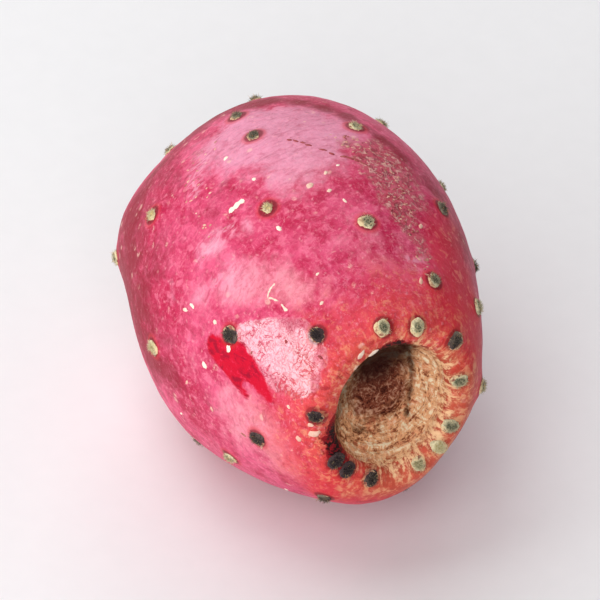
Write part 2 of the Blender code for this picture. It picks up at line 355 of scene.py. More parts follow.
# Marks on the skin, as soft spots of (way back, bearing, reach, strength). Where the bloom lies thick, with
# broad painted sheen of light laid over it
BLOOM_AND_SHEEN = (
    (50, 99, 7, 0.9), (43, 91, 7, 0.9), (38, 95, 5, 0.6), (48, 77, 7, 0.75), (55, 107, 7, 0.75),
    (55, 85, 6, 0.7), (26, 133, 3.5, 0.75), (29, 141, 3, 0.6), (33, 150, 3, 0.55), (22, 124, 3.5, 0.6),
    (36, 132, 2.2, 0.7), (34, 120, 2.2, 0.6), (38, 137, 2.2, 0.6), (18, 120, 3.5, 0.7),
    (14, 109, 3.5, 0.5), (40, 157, 3, 0.4), (59, 97, 5, 0.6), (42, 87, 5, 0.5), (28, 128, 4, 0.5),
    (21, 182, 5, 0.6), (14, 190, 5, 0.75), (12, 209, 5, 0.75), (22, 200, 5, 0.5), (32, 177, 4, 0.3),
    (30, 330, 12, 0.6), (50, 300, 10, 0.5), (66, 20, 9, 0.6), (40, 10, 9, 0.4), (64, 250, 10, 0.5),
    (18, 80, 7, 0.42), (24, 96, 6, 0.2),
)
# Where handling has rubbed the bloom off and polished the wax; its colour also holds a pale painted
# highlight
RUBBED_AND_HIGHLIGHT = (
    (21, 150, 2.6, 1), (18, 145, 3.2, 1), (14.5, 137, 3, 1), (12, 132, 2.4, 0.9), (15, 151, 3.6, 1),
    (10.5, 142, 3.6, 1), (8.5, 136, 2.6, 0.9), (8.5, 152, 3.2, 1), (12, 157, 3, 1),
    (16.5, 156, 2.4, 0.9), (30, 290, 5, 0.7), (48, 356, 6, 0.7),
)
# Where the rind is scraped down to raw red flesh
RAW = (
    (26.5, 162, 1.9, 1), (24.5, 164, 1.9, 1), (22.5, 167, 1.8, 0.95), (20.5, 171, 1.5, 0.7),
    (18.5, 175, 1.3, 0.5), (21.5, 158, 1.6, 1), (19.5, 161, 1.9, 1), (17.5, 164, 1.8, 1),
    (15.5, 167, 1.5, 0.95), (13.5, 171, 1.3, 0.65), (23, 161, 1.4, 0.8),
)
# Where the flesh is ripe to deep crimson, and where painted shade darkens the fruit along its edges
DEEP_AND_SHADE = (
    (64, 84, 3, 1), (60, 76, 2.6, 1), (56, 71, 2.4, 1), (52, 67, 2.4, 1), (48, 65, 2.4, 1),
    (44, 60, 2.2, 0.95), (40, 57, 2.4, 0.9), (35, 47, 6, 0.7), (26, 35, 6, 0.6), (71, 92, 4, 1),
    (66, 86, 3, 1), (72, 108, 5, 0.9), (67, 125, 5, 0.8), (66, 143, 5, 0.8), (64, 159, 6, 1),
    (59, 168, 6, 1), (56, 178, 5, 1), (48, 185, 5, 1), (43, 190, 4, 0.9), (45, 150, 5, 0.35),
    (51, 160, 7, 0.5), (60, 149, 7, 0.35), (39, 173, 5, 0.45), (43, 129, 3.5, 0.5), (58, 132, 5, 0.4),
    (49, 175, 7, 0.75), (61, 167, 7, 0.8), (37, 188, 5, 0.7), (44, 117, 3, 0.4), (29, 189, 4, 0.4),
    (60, 320, 9, 0.7), (34, 240, 8, 0.6), (74, 90, 9, 0.5),
)
# Where leaves and twigs have brushed pale strokes in the bloom
SCUFFED = (
    (54, 122, 2.2, 0.8), (51, 125, 2, 0.9), (49, 126, 2.2, 0.7), (56, 116, 3, 0.6), (59, 109, 3, 0.6),
    (38, 137, 2.4, 0.8), (37, 131, 2.2, 0.9), (36, 124, 2.4, 0.7), (32, 142, 2, 0.6), (29, 135, 3, 0.6),
    (15, 68, 2.4, 0.8), (17, 64, 2, 0.6), (45, 250, 6, 0.8), (30, 350, 6, 0.7), (66, 330, 7, 0.7),
)
# Where the rind has healed in a fine net of cork
NETTED = (
    (42, 75, 2.2, 0.7), (39, 71, 2.6, 0.8), (37, 67, 3, 0.9), (34, 70, 2.8, 0.9), (32, 65, 3, 1),
    (28, 69, 2.4, 1), (27, 64, 2.6, 0.8), (24, 67, 2.4, 0.9), (20, 64, 2.2, 0.9), (17, 62, 1.8, 0.7),
    (39, 61, 3, 0.6), (35, 58, 3.5, 0.6), (42, 65, 3, 0.5), (29, 57, 3, 0.5), (58, 118, 4, 0.4),
    (62, 300, 8, 0.7), (36, 20, 6, 0.5), (52, 205, 7, 0.6),
)
# Where the crown is warmest red
WARM = (
    (16, 42, 7, 0.9), (11, 30, 6, 0.9), (9, 46, 5, 0.8), (21, 50, 5, 0.7), (27, 44, 6, 0.6),
    (7, 20, 5, 0.8), (5, 225, 5, 0.7), (9, 240, 5, 0.6), (5, 262, 5, 0.7), (12, 205, 4, 0.3),
    (14, 300, 9, 0.5),
)
# Where dark crust of the flower is left on the lip, and painted shade of the hollow under the top of the
# lip
CRUSTED_AND_SHADED = (
    (1.2, 182, 1.5, 0.9), (1.6, 190, 1.6, 1), (1.4, 198, 1.7, 1), (1.6, 206, 1.8, 1),
    (1.6, 216, 1.6, 0.9), (0.4, 172, 1.2, 0.7), (0.2, 232, 1.2, 0.6), (0.1, 120, 0.9, 0.5),
    (0, 90, 1.3, 1), (0.2, 82, 1.4, 1), (-0.3, 74, 1.2, 0.9), (-0.4, 98, 1.2, 0.8), (0.7, 83, 1.5, 1),
    (0.6, 91, 1.5, 1), (0.3, 99, 1.3, 0.9), (-0.7, 88, 1.5, 1), (0.2, 250, 1.2, 0.5),
    (0.3, 58, 1.1, 0.6), (0.3, 300, 1.3, 0.5), (0.2, 345, 1, 0.4),
)
# Where the crown is tanned by the sun
TANNED = (
    (3, 8, 3.5, 0.8), (2.5, 350, 3.5, 0.9), (3, 332, 4, 0.9), (2.5, 314, 4, 0.9), (3, 296, 4, 0.9),
    (3, 278, 4, 0.9), (3.5, 260, 4, 0.8), (5, 240, 3.5, 0.6), (4, 56, 3, 0.4), (2, 36, 3, 0.8),
    (8, 320, 5, 0.5), (8, 290, 5, 0.5),
)
MARKS = {"bloom_and_sheen": BLOOM_AND_SHEEN, "rubbed_and_highlight": RUBBED_AND_HIGHLIGHT, "raw": RAW, "deep_and_shade": DEEP_AND_SHADE, "scuffed": SCUFFED, "netted": NETTED,
         "warm": WARM, "crusted_and_shaded": CRUSTED_AND_SHADED, "tanned": TANNED}

# The skin is tucked in under the lip and laps over the edge of the stem's cut
SKIN_SIDES = 300
LIP_TUCK = 1.3
LIP_TURN_IN = 0.8
LIP_RINGS = 6
CROWN_BACK = 12
CROWN_RINGS = 46
BODY_RINGS = 186
STEM_LAP = 0.4
STEM_FRAY = 2
body_length = SKIN_WAY + STEM_LAP - CROWN_BACK
skin_ways = [-LIP_TUCK + LIP_TUCK * step / LIP_RINGS for step in range(LIP_RINGS)]
skin_ways += [CROWN_BACK * step / CROWN_RINGS for step in range(CROWN_RINGS)]
skin_ways += [CROWN_BACK + body_length * step / BODY_RINGS for step in range(BODY_RINGS + 1)]
skin = ring_tube(skin_ways, SKIN_SIDES)
for name in ("back", "near", *MARKS):
    skin.verts.layers.float.new(name)
back_layer = skin.verts.layers.float["back"]
near_layer = skin.verts.layers.float["near"]
for corner in skin.verts:
    x, y, way = corner.co
    bearing = atan2(y, x)
    # Both edges waver where they meet the scars
    if way < 0:
        way *= 0.8 + 0.9 * noise.noise(Vector((cos(bearing) * 4, sin(bearing) * 4, 3)))
        way += 0.5 * noise.noise(Vector((cos(bearing) * 13, sin(bearing) * 13, way)))
    elif way > SKIN_WAY - STEM_FRAY:
        near_cut = (way - SKIN_WAY + STEM_FRAY) / (STEM_FRAY + STEM_LAP)
        way += near_cut * 0.7 * noise.noise(Vector((cos(bearing) * 1.7, sin(bearing) * 1.7, 5)))
        way += near_cut * 0.3 * noise.noise(Vector((cos(bearing) * 5, sin(bearing) * 5, way)))
    corner[back_layer] = way
    corner.co = grown(turned(way, bearing))
    corner[near_layer] = areole_tree.find(corner.co)[2] / MM
corners = skin.verts[:]
tree = tree_of([corner.co for corner in corners])
for name, places in MARKS.items():
    marked(corners, tree, skin.verts.layers.float[name], places)
skin.normal_update()
for corner in skin.verts:
    lift = mounds_at(corner.co)
    lift += 0.10 * MM * noise.noise(corner.co / (6 * MM)) + 0.05 * MM * noise.noise(corner.co / (2.2 * MM))
    way = corner[back_layer]
    if way < 0:
        lift -= LIP_TURN_IN * MM * (way / LIP_TUCK) ** 2
    corner.co += corner.normal * lift

wax = Finish("waxy skin")
place = wax.millimetres()
turned_place = wax.kept_vector("turn")
back = wax.kept("back")
near = wax.kept("near")

# Noise of every size, some of it drawn out along the fruit into strokes
wide = wax.clouds(place, 14, 2, 0.55)
broad = wax.clouds(place, 5, 3, 0.6, 0.4)
middling = wax.clouds(place, 2.2, 3, 0.6, 0.6)
fine = wax.clouds(place, 0.8, 3, 0.65, 0.8)
grain = wax.clouds(place, 0.34, 3, 0.7)
strokes = wax.clouds(wax.placed(turned_place, (11, 11, 1)), 1.1, 3, 0.65, 1.0)
long_strokes = wax.clouds(wax.placed(turned_place, (24, 24, 0.45)), 1.3, 3, 0.65, 0.8)
lip_strokes = wax.clouds(wax.placed(turned_place, (11, 11, 0.35)), 1, 3, 0.65, 0.6)
blots = wax.clouds(wax.placed(place, shift=(0, 0, 60)), 1.5, 4, 0.65, 0.8)
specks = wax.cells(place, 1.15).between(0.36, 0.06) * fine.between(0.44, 0.58)
dots = wax.cells(wax.placed(place, shift=(40, 0, 0)), 2.9).between(0.26, 0.14)
curls = abs(wax.clouds(place, 2.4, 3, 0.6, 1.2) - 0.5).between(0.05, 0.012) * broad.between(0.44, 0.54)
worms = (curls + abs(wax.clouds(place, 1.0, 3, 0.6, 1.0) - 0.5).between(0.06, 0.01) * 0.5).clamped()
granules = wax.clouds(place, 0.95, 3, 0.7, 0.7).between(0.50, 0.60)
cracks = wax.clouds(wax.placed(place, shift=(0, 30, 0)), 1.2, 3, 0.7, 1.0).between(0.54, 0.62)

# How far each kind of mark covers the skin, its edge broken up by the noise
raw = (wax.kept("raw") + (middling - 0.5) * 0.5 + (long_strokes - 0.5) * 0.6).between(0.26, 0.56)
# The polished patch: glossy wax, and also a painted highlight in the colour below
rubbed_and_highlight = (wax.kept("rubbed_and_highlight") + (middling - 0.5) * 0.5).between(0.42, 0.56) * (1 - raw)
# Deep crimson, part of it painted shade along the fruit's edges
deep_and_shade = (wax.kept("deep_and_shade") + (broad - 0.5) * 1.3 + (middling - 0.5) * 0.9).between(0.14, 1.0)
calm = 1 - deep_and_shade * 0.8
# The bloom's share, which also lays a broad painted sheen on the skin
bloom_and_sheen = (wax.kept("bloom_and_sheen") * 1.15 + (broad - 0.5) * 1.2 + (middling - 0.5) * 0.7).between(0.2, 0.95)
bloom_and_sheen = bloom_and_sheen * (1 - raw) * calm
scuffed = (wax.kept("scuffed") + (broad - 0.5) * 0.4).between(0.2, 0.8) * strokes.between(0.44, 0.60)
netted = (wax.kept("netted") * 1.1 + (middling - 0.5) * 1.0 + (fine - 0.5) * 0.5).between(0.3, 0.85)
coral = ((broad - 0.5) * 14 + (middling - 0.5) * 8 - back).between(-19, -5)
orange = ((broad - 0.5) * 8 - back).between(-8, -1)
warm = (wax.kept("warm") + (broad - 0.5) * 0.7).between(0.1, 0.9)
tanned = (wax.kept("tanned") + (broad - 0.5) * 0.8 + (blots - 0.5) * 0.6).between(0.25, 0.85)
stem_end = (back + (broad - 0.5) * 14).between(74, 88)
crown = ((broad - 0.5) * 8 - back).between(-10, -2)
crown_strokes = lip_strokes * 0.5 + blots * 0.5
# Crust on the lip, black where it is painted shade under the top of the lip
crust_and_shade_mask = (wax.kept("crusted_and_shaded") + (middling - 0.5) * 1.4 + (blots - 0.5) * 1.6).between(0.42, 0.66)
crust_red = (fine + (0.85 - wax.kept("crusted_and_shaded")) * 0.6).between(0.42, 0.60)
# Pale cork edges the lip all round but for the side where the crust lies
open_side = wax.part(turned_place, 0).between(-0.95, -0.2)
lip_edge = ((middling - 0.5) * 5 + (lip_strokes - 0.5) * 7 - back).between(-2.6, 0.0) * open_side

# The bloom's tint turns lavender up the body: painted sheen of the light from above and behind
bloom_and_sheen_tint = wax.mix(tint(252, 172, 182), tint(236, 178, 204), back.between(16, 46))
raw_strokes = (middling * 0.4 + long_strokes * 0.6).between(0.5, 0.64) * 0.8
raw_flesh = wax.washed(
    tint(204, 0, 44),
    (tint(146, 0, 42), raw_strokes),
    (tint(232, 48, 88), (long_strokes * 0.5 + fine * 0.5).between(0.47, 0.38) * 0.5),
)
tan_strokes = (lip_strokes * 0.4 + blots * 0.3 + fine * 0.3).between(0.46, 0.58)
tan = wax.mix(tint(206, 96, 66), tint(238, 176, 128), tan_strokes)
lip_skin_strokes = (lip_strokes * 0.5 + fine * 0.3 + blots * 0.2).between(0.45, 0.56)
lip_skin = wax.mix(tint(180, 78, 54), tint(248, 204, 156), lip_skin_strokes)

# Ripe flesh under bloom, then the coral crown, the marks of weather and handling, and the rims of the
# scars, with painted sheen, highlight and shade among them
flesh = wax.washed(
    tint(192, 30, 76),
    (tint(225, 86, 126), (wide * 0.5 + broad * 0.5).between(0.36, 0.62)),
    # Deep crimson, part of it painted shade along the fruit's edges
    (tint(138, 2, 30), deep_and_shade * 0.92),
    (tint(160, 14, 52), middling.between(0.50, 0.74) * 0.45),
    (tint(156, 12, 52), blots.between(0.50, 0.34) * 0.32),
    (tint(240, 124, 154), blots.between(0.50, 0.66) * 0.55 * calm),
    (tint(238, 112, 146), long_strokes.between(0.50, 0.74) * 0.4 * calm),
    (bloom_and_sheen_tint, bloom_and_sheen * (0.25 + 0.6 * fine + 0.45 * (strokes - 0.5)).clamped()),
    (tint(222, 66, 70), coral * 0.8),
    (tint(224, 90, 62), orange * 0.6),
    (tint(242, 164, 126), coral * wax.clouds(place, 1.3, 4, 0.7, 0.6).between(0.54, 0.66) * 0.5),
    (tint(150, 16, 34), coral * wax.clouds(place, 2.7, 3, 0.6, 0.5).between(0.57, 0.70) * 0.6),
    (tint(134, 6, 40), strokes.between(0.50, 0.34) * 0.2),
    (tint(246, 138, 160), (grain * 0.5 + fine * 0.5).between(0.50, 0.66) * 0.36 * calm),
    (tint(250, 160, 172), specks * (0.15 + calm * 0.3)),
    (tint(250, 200, 184), dots * middling.between(0.52, 0.62) * 0.5),
    (tint(236, 172, 192), scuffed * 0.5),
    # Painted highlight: the polished patch paled to white-pink, broken by red curls
    (tint(240, 150, 168), rubbed_and_highlight * (1 - worms) * (0.25 + 0.5 * fine)),
    (tint(190, 20, 50), rubbed_and_highlight * worms * 0.5),
    (tint(218, 30, 42), warm * 0.62),
    (tint(240, 150, 108), warm * blots.between(0.54, 0.68) * 0.4),
    (tint(190, 92, 96), netted * 0.5),
    (tint(232, 172, 164), netted * granules * 0.85),
    (tint(116, 34, 42), netted * cracks * 0.45),
    (raw_flesh, raw),
    (tint(206, 52, 52), near.between(2.6, 1.8) * 0.5),
    # Painted shade: a dark ring where each pad meets the skin
    (tint(104, 18, 30), near.between(1.9, 1.45) * 0.7),
    (tint(168, 92, 62), stem_end * 0.6),
    (tint(242, 168, 122), crown * crown_strokes.between(0.51, 0.58) * 0.42),
    (tint(164, 26, 30), crown * crown_strokes.between(0.47, 0.40) * 0.5),
    (tan, tanned * 0.6),
    # The crust, and the painted shade under the top of the lip, near black
    (wax.mix(tint(26, 8, 10), tint(146, 16, 28), crust_red), crust_and_shade_mask),
    (lip_skin, lip_edge * (1 - crust_and_shade_mask) * 0.9),
)

relief = fine * 0.5 + specks * 0.3 + grain * 0.25 + middling * 0.6 - rubbed_and_highlight * worms * 0.5 + scuffed * 0.3
relief = relief + netted * granules * 0.6 - netted * cracks * 0.6
dullness = 0.50 + bloom_and_sheen * 0.12 + netted * 0.1 - rubbed_and_highlight * 0.30 + raw * 0.2 + (fine - 0.5) * 0.12
wax.surface(
    base_color=flesh,
    roughness=dullness.clamped(),
    coat_weight=(rubbed_and_highlight * (1 - worms * 0.8) * (0.5 + fine * 0.9)).clamped(),
    normal=wax.bump(relief, 0.16 * MM),
)
wax.shader.inputs["Coat Roughness"].default_value = 0.10
wax.shader.inputs["Coat IOR"].default_value = 1.9
wax.shader.inputs["Specular IOR Level"].default_value = 0.14
wax.shader.inputs["Sheen Weight"].default_value = 0.015
wax.shader.inputs["Sheen Roughness"].default_value = 0.45
wax.shader.inputs["Sheen Tint"].default_value = tint(236, 196, 214)

finish_piece("skin", skin, wax.material)

# The scar is the dried cup that the flower left when it dropped: brown corky tissue, its floor fibrous, its
# wall wrinkled in rings and streaked up to the lip. It grew into the skin, which overlaps its edge.

SCAR_SIDES = 240
FLOOR_SPAN = 5.4
FLOOR_RINGS = 26
WALL_RINGS = 50
wall_span = SCAR_WAY - FLOOR_SPAN
scar_ways = [FLOOR_SPAN * step / FLOOR_RINGS - SCAR_WAY for step in range(FLOOR_RINGS)]
scar_ways += [wall_span * step / WALL_RINGS - wall_span for step in range(WALL_RINGS + 1)]
scar = ring_tube(scar_ways, SCAR_SIDES)
turn = scar.verts.layers.float_vector["turn"]
hollow_shade_layer = scar.verts.layers.float.new("hollow_shade")
painted_shade_layer = scar.verts.layers.float.new("painted_shade")
# Painted shade darkening the wall under the top of the lip and on the left, by way and bearing as on the
# skin
PAINTED_SHADE = (
    (-0.4, 76, 1.4, 1), (-1.6, 70, 1.5, 1), (-3, 66, 1.7, 1), (-4.6, 62, 1.8, 0.9), (-6, 64, 2, 0.9),
    (-7.5, 84, 2.6, 0.9), (-8.5, 112, 2.8, 0.8), (-6.5, 40, 1.4, 0.6), (-3, 190, 1.6, 0.6),
    (-1.5, 200, 1.4, 0.7), (-0.6, 88, 1.6, 1), (-1.2, 98, 1.6, 0.9), (-5.5, 90, 2.4, 0.7),
    (-5.5, 116, 2.2, 0.6), (-2.2, 108, 2, 0.7), (-3.4, 124, 2.4, 0.6), (-3.2, 144, 2.4, 0.6),
    (-3.6, 164, 2.4, 0.5), (-4.2, 186, 2.2, 0.4), (-6, 150, 2.4, 0.45), (-6, 175, 2.2, 0.4),
    (-7, 66, 2.4, 1), (-7.2, 84, 2.8, 0.95), (-5, 78, 2.6, 0.95), (-3, 84, 2.4, 0.9),
    (-6.8, 106, 2.6, 0.8), (-9.5, 90, 2.6, 0.6),
)
# The split down the wall and round the edge of the floor, as (bearing, radius), darkened with painted shade
SPLIT = (
    (78, 10.3), (73, 9.4), (65, 8.5), (55, 7.7), (42, 7.0), (28, 6.5), (14, 6.2), (0, 6.0), (-18, 6.1),
    (-36, 6.6), (-54, 7.1),
)
SPLIT_WIDTH = 0.34
SPLIT_DEPTH = 0.7
# The short curved dent low on the wall
DENT_BEARING = radians(238)
DENT_RADIUS = 7
DENT_WIDTH = 0.4
DENT_LENGTH = 1.7
DENT_CURVE = 0.12
DENT_DEPTH = 0.5
FLOOR_RADIUS = 4.8
FLOOR_BLEND = 1.6
LIP_SPAN = 2.5


def held(share):
    """A share held between 0 and 1."""
    return min(max(share, 0), 1)


def close_pole(shape, way):
    """Draw the ring at the end of a tube in to one point."""
    turn = shape.verts.layers.float_vector["turn"]
    ring = [corner for corner in shape.verts if abs(corner[turn].z - way) < 0.001]
    middle = sum((corner.co for corner in ring), Vector()) / len(ring)
    bmesh.ops.pointmerge(shape, verts=ring, merge_co=middle)


split_line = []
for bearing, radius in SPLIT:
    bearing = radians(bearing)
    split_line.append(Vector((radius * cos(bearing), radius * sin(bearing), 0)))
split_points = []
for one, other in zip(split_line, split_line[1:]):
    split_points += [one.lerp(other, step / 8) for step in range(8)]
split_tree = tree_of(split_points)
dent_out = Vector((cos(DENT_BEARING), sin(DENT_BEARING), 0))
dent_along = Vector((-sin(DENT_BEARING), cos(DENT_BEARING), 0))
for corner in scar.verts:
    corner.co = grown(turned(corner.co.z, atan2(corner.co.y, corner.co.x)))
corners = scar.verts[:]
marked(corners, tree_of([corner.co for corner in corners]), painted_shade_layer, PAINTED_SHADE)
scar.normal_update()
for corner in scar.verts:
    x, y, way = corner[turn]
    flat = turned(way, atan2(y, x)) / MM
    flat.z = 0
    wall = held((flat.length - FLOOR_RADIUS) / FLOOR_BLEND)
    near_lip = held((way + LIP_SPAN) / LIP_SPAN)
    streak = noise.noise(Vector((x * 7, y * 7, way * 0.25)))
    fibre = noise.noise(Vector((x * 16, y * 16, way * 0.5 + 9)))
    wrinkle = noise.noise(Vector((x * 1.9, y * 1.9, way * 1.1)))
    lumps = noise.noise(Vector((flat.x / 2.4, flat.y / 2.4, 4)))
    crumbs = noise.noise(Vector((flat.x / 0.8, flat.y / 0.8, 7)))
    lift = wall * (1 - 0.8 * near_lip) * (0.22 * streak + 0.10 * fibre + 0.42 * wrinkle)
    lift += (1 - wall) * (0.5 * lumps + 0.22 * crumbs)
    wobble = Vector((crumbs, lumps, 0)) * 0.7
    split = exp(-((split_tree.find(flat + wobble * 0.4)[2] / SPLIT_WIDTH) ** 2)) * (0.75 + 0.6 * lumps)
    from_dent = flat - dent_out * DENT_RADIUS
    sideways = from_dent.dot(dent_along)
    outwards = (from_dent + wobble).dot(dent_out) + DENT_CURVE * sideways**2
    dent = exp(-((outwards / DENT_WIDTH) ** 2) - (sideways / DENT_LENGTH) ** 2)
    # The split and the dent, kept for their painted shade
    corner[hollow_shade_layer] = min(1, split + 0.8 * dent)
    # The cup's edge rises with the mounds, a little below the skin that laps over it
    lift += near_lip * (mounds_at(corner.co) / MM - 0.04) - SPLIT_DEPTH * split - DENT_DEPTH * dent
    corner.co += corner.normal * lift * MM
close_pole(scar, scar_ways[0])

cork = Finish("dried flower scar")
place = cork.millimetres()
turned_place = cork.kept_vector("turn")
height = cork.part(turned_place, 2)
blotches = cork.clouds(place, 2.2, 3, 0.6)
crumbs = cork.clouds(place, 0.5, 3, 0.65, 0.6)
granules = cork.clouds(place, 1.25, 4, 0.7, 1.4)
strands = cork.clouds(cork.placed(turned_place, (8, 8, 0.4)), 1, 3, 0.65, 1.0)
rings = cork.clouds(cork.placed(turned_place, (1.9, 1.9, 0.95)), 1, 3, 0.65, 1.4)
lip_strokes = cork.clouds(cork.placed(turned_place, (11, 11, 0.35)), 1, 3, 0.65, 0.6)
up_wall = (height + (blotches - 0.5) * 7).between(-9.6, -5.4)
by_lip = (height + (blotches - 0.5) * 3).between(-2.6, -0.4)
weave = granules * 0.36 + strands * up_wall * 0.24 + rings * 0.4 + (1 - up_wall) * 0.12
fibre_tint = cork.mix(tint(192, 140, 114), tint(255, 238, 202), up_wall)
gap_tint = cork.mix(tint(56, 18, 14), tint(132, 58, 36), up_wall)
lip_tint_share = (lip_strokes * 0.5 + crumbs * 0.5).between(0.44, 0.56)
bark = cork.washed(
    tint(128, 66, 48),
    (tint(236, 176, 128), up_wall),
    (fibre_tint, weave.between(0.50, 0.565) * 0.95),
    (gap_tint, weave.between(0.485, 0.42) * 0.9),
    (tint(232, 136, 100), blotches.between(0.52, 0.66) * up_wall * 0.35),
    (cork.mix(tint(184, 92, 60), tint(250, 208, 160), lip_tint_share), by_lip * 0.8),
    # Painted shade on the wall
    (tint(42, 12, 10), cork.kept("painted_shade") * 0.96),
    # Painted shade in the split and the dent
    (tint(34, 10, 8), cork.kept("hollow_shade") * 0.85),
)
cork.surface(
    base_color=bark,
    roughness=(0.7 + (crumbs - 0.5) * 0.3).clamped(),
    normal=cork.bump(weave * 2 + crumbs * 0.4, 0.3 * MM),
)
cork.shader.inputs["Specular IOR Level"].default_value = 0.05

finish_piece("flower_scar", scar, cork.material)

# The cut stem is the small dished scar where the fruit was twisted off its pad: dried green-brown flesh
# with a pale corky rim. It grew in one with the skin, which laps over its edge.

CUT_SIDES = 96
CUT_RINGS = 24
CUT_TUCK = 0.5
CUT_RIM_BACK = 0.6
CUT_RIM_WIDTH = 0.5
CUT_RIM_HEIGHT = 0.28
CUT_BLEND = 1.2
cut_span = CUT_WAY + CUT_TUCK
cut_ways = [SKIN_WAY - CUT_TUCK + cut_span * step / CUT_RINGS for step in range(CUT_RINGS + 1)]
cut = ring_tube(cut_ways, CUT_SIDES)
turn = cut.verts.layers.float_vector["turn"]
for corner in cut.verts:
    corner.co = grown(turned(corner.co.z, atan2(corner.co.y, corner.co.x)))
cut.normal_update()
for corner in cut.verts:
    x, y, way = corner[turn]
    inside = held((way - SKIN_WAY) / CUT_BLEND)
    rim = exp(-(((way - SKIN_WAY - CUT_RIM_BACK) / CUT_RIM_WIDTH) ** 2))
    lumps = noise.noise(Vector((x * 3, y * 3, way * 0.9)))
    lift = CUT_RIM_HEIGHT * rim * (1 + lumps) + inside * 0.25 * lumps - (1 - inside) * 0.1
    corner.co += corner.normal * lift * MM
close_pole(cut, cut_ways[-1])

dried = Finish("dried stem cut")
place = dried.millimetres()
turned_place = dried.kept_vector("turn")
inward = dried.part(turned_place, 2) - SKIN_WAY
spokes = dried.clouds(dried.placed(turned_place, (6, 6, 0.5)), 1, 3, 0.6)
crumbs = dried.clouds(place, 0.5, 3, 0.6)
stub = dried.washed(
    tint(196, 150, 108),
    (tint(112, 92, 58), (inward + (crumbs - 0.5)).between(0.8, 2.2)),
    (tint(72, 48, 34), spokes.between(0.52, 0.7) * 0.7),
    (tint(206, 176, 132), crumbs.between(0.58, 0.74) * 0.5),
)
dried.surface(
    base_color=stub,
    roughness=(0.8 + (crumbs - 0.5) * 0.2).clamped(),
    normal=dried.bump(spokes * 0.8 + crumbs * 0.6, 0.25 * MM),
)

finish_piece("stem_scar", cut, dried.material)

# The areoles are the cactus's woolly spots: an oval pad of matted felt, nearly black to grey-green, with a
# collar of pale cork round its root. Each grew out of the top of its mound.

PAD_LENGTH = 1.5
PAD_WIDTH = 1.25
PAD_HEIGHT = 0.64
PAD_SUNK = 0.28
PAD_FACES = (30, 18)
PAD_ROUGH = 0.17
COLLAR_HEIGHT = 0.4
COLLAR_SUNK = 0.25
COLLAR_LEAN = 0.36
COLLAR_FACES = (26, 12)
COLLAR_ROUGH = 0.2
# Above this paleness the wool is worn away and the pad is smaller
WORN_FROM = 0.9


def standing(way, bearing, sunk):
    """A frame on the skin: its x to the next higher bearing, its y to the flower end, its z outwards."""
    here = on_skin(way, bearing)
    back_step = on_skin(way + 0.2, bearing) - here
    round_step = on_skin(way, bearing + 1) - here
    outward = back_step.cross(round_step).normalized()
    turn = outward.to_track_quat("Z", "Y").to_matrix().to_4x4()
    return Matrix.Translation(here + outward * (mounds_at(here) - sunk * MM)) @ turn


def lump(shape, stand, size, seed, faces, rough, layer, value):
    """Add one rounded, uneven lump. Its corners keep a number, and how far out on the lump they lie."""
    made = bmesh.new()
    bmesh.ops.create_uvsphere(made, u_segments=faces[0], v_segments=faces[1], radius=1)
    kept = made.verts.layers.float.new(layer)
    out = made.verts.layers.float.new("out")
    for corner in made.verts:
        away = corner.co.copy()
        swell = 1 + rough * noise.noise(away * 1.4 + seed) + rough * 0.6 * noise.noise(away * 3.6 + seed)
        corner.co = Vector((away.x * size[0], away.y * size[1], away.z * size[2])) * swell * MM
        corner[kept] = value
        corner[out] = away.xy.length
    bmesh.ops.transform(made, matrix=stand, verts=made.verts)
    join(shape, made)


draw = Random(11)
pads = bmesh.new()
pads.verts.layers.float.new("pale")
pads.verts.layers.float.new("out")
collars = bmesh.new()
collars.verts.layers.float.new("pale")
pad_sizes = []
for number, (way, bearing, pale, collar, side) in enumerate(AREOLES):
    worn = max(0, pale - WORN_FROM) / (1 - WORN_FROM)
    size = (1 + 0.12 * draw.uniform(-1, 1)) * (1 - 0.16 * collar) * (1 - 0.22 * worn)
    pad_sizes.append(size)
    seed = Vector((number * 3.7, number * 1.3, 2))
    pad_size = (PAD_WIDTH * size, PAD_LENGTH * size, PAD_HEIGHT)
    lump(pads, standing(way, bearing, PAD_SUNK), pad_size, seed, PAD_FACES, PAD_ROUGH, "pale", pale)
    if collar > 0:
        side = radians(side)
        lean = Vector((cos(side), sin(side), 0)) * COLLAR_LEAN * collar * MM
        plate = standing(way, bearing, COLLAR_SUNK) @ Matrix.Translation(lean)
        spread = size * (0.98 + 0.14 * collar)
        collar_size = (PAD_WIDTH * spread, PAD_LENGTH * spread, COLLAR_HEIGHT)
        lump(collars, plate, collar_size, seed * 2, COLLAR_FACES, COLLAR_ROUGH, "pale", pale)

felt = Finish("areole felt")
place = felt.millimetres()
pale = felt.kept("pale")
tufts = felt.clouds(place, 0.55, 3, 0.7, 0.8)
strands = felt.clouds(felt.placed(place, (1, 1, 0.4), (0.4, 0.3, 0)), 0.22, 2, 0.6)
clumps = felt.clouds(place, 1.1, 2, 0.5)
rim_share = (felt.kept("out") + (clumps - 0.5) * 1.2 + (tufts - 0.5) * 0.5).between(0.4, 0.95)
rim_pale = (pale + (clumps - 0.5) * 0.4).between(0.05, 0.65)
wool = felt.washed(
    tint(36, 22, 26),
    (tint(98, 102, 78), pale.between(0.0, 0.6)),
    (tint(240, 218, 152), pale.between(0.78, 1.0)),
    (felt.mix(tint(80, 60, 62), tint(240, 228, 186), rim_pale), rim_share),
    (tint(176, 172, 146), tufts.between(0.54, 0.72) * pale.between(0, 0.8) * 0.6),
    (tint(16, 10, 11), tufts.between(0.47, 0.30) * (0.8 - pale * 0.6).clamped()),
)
felt.surface(
    base_color=wool,
    roughness=0.95,
    normal=felt.bump(tufts + strands * 0.6, 0.3 * MM),
)

finish_piece("areole_pads", pads, felt.material)

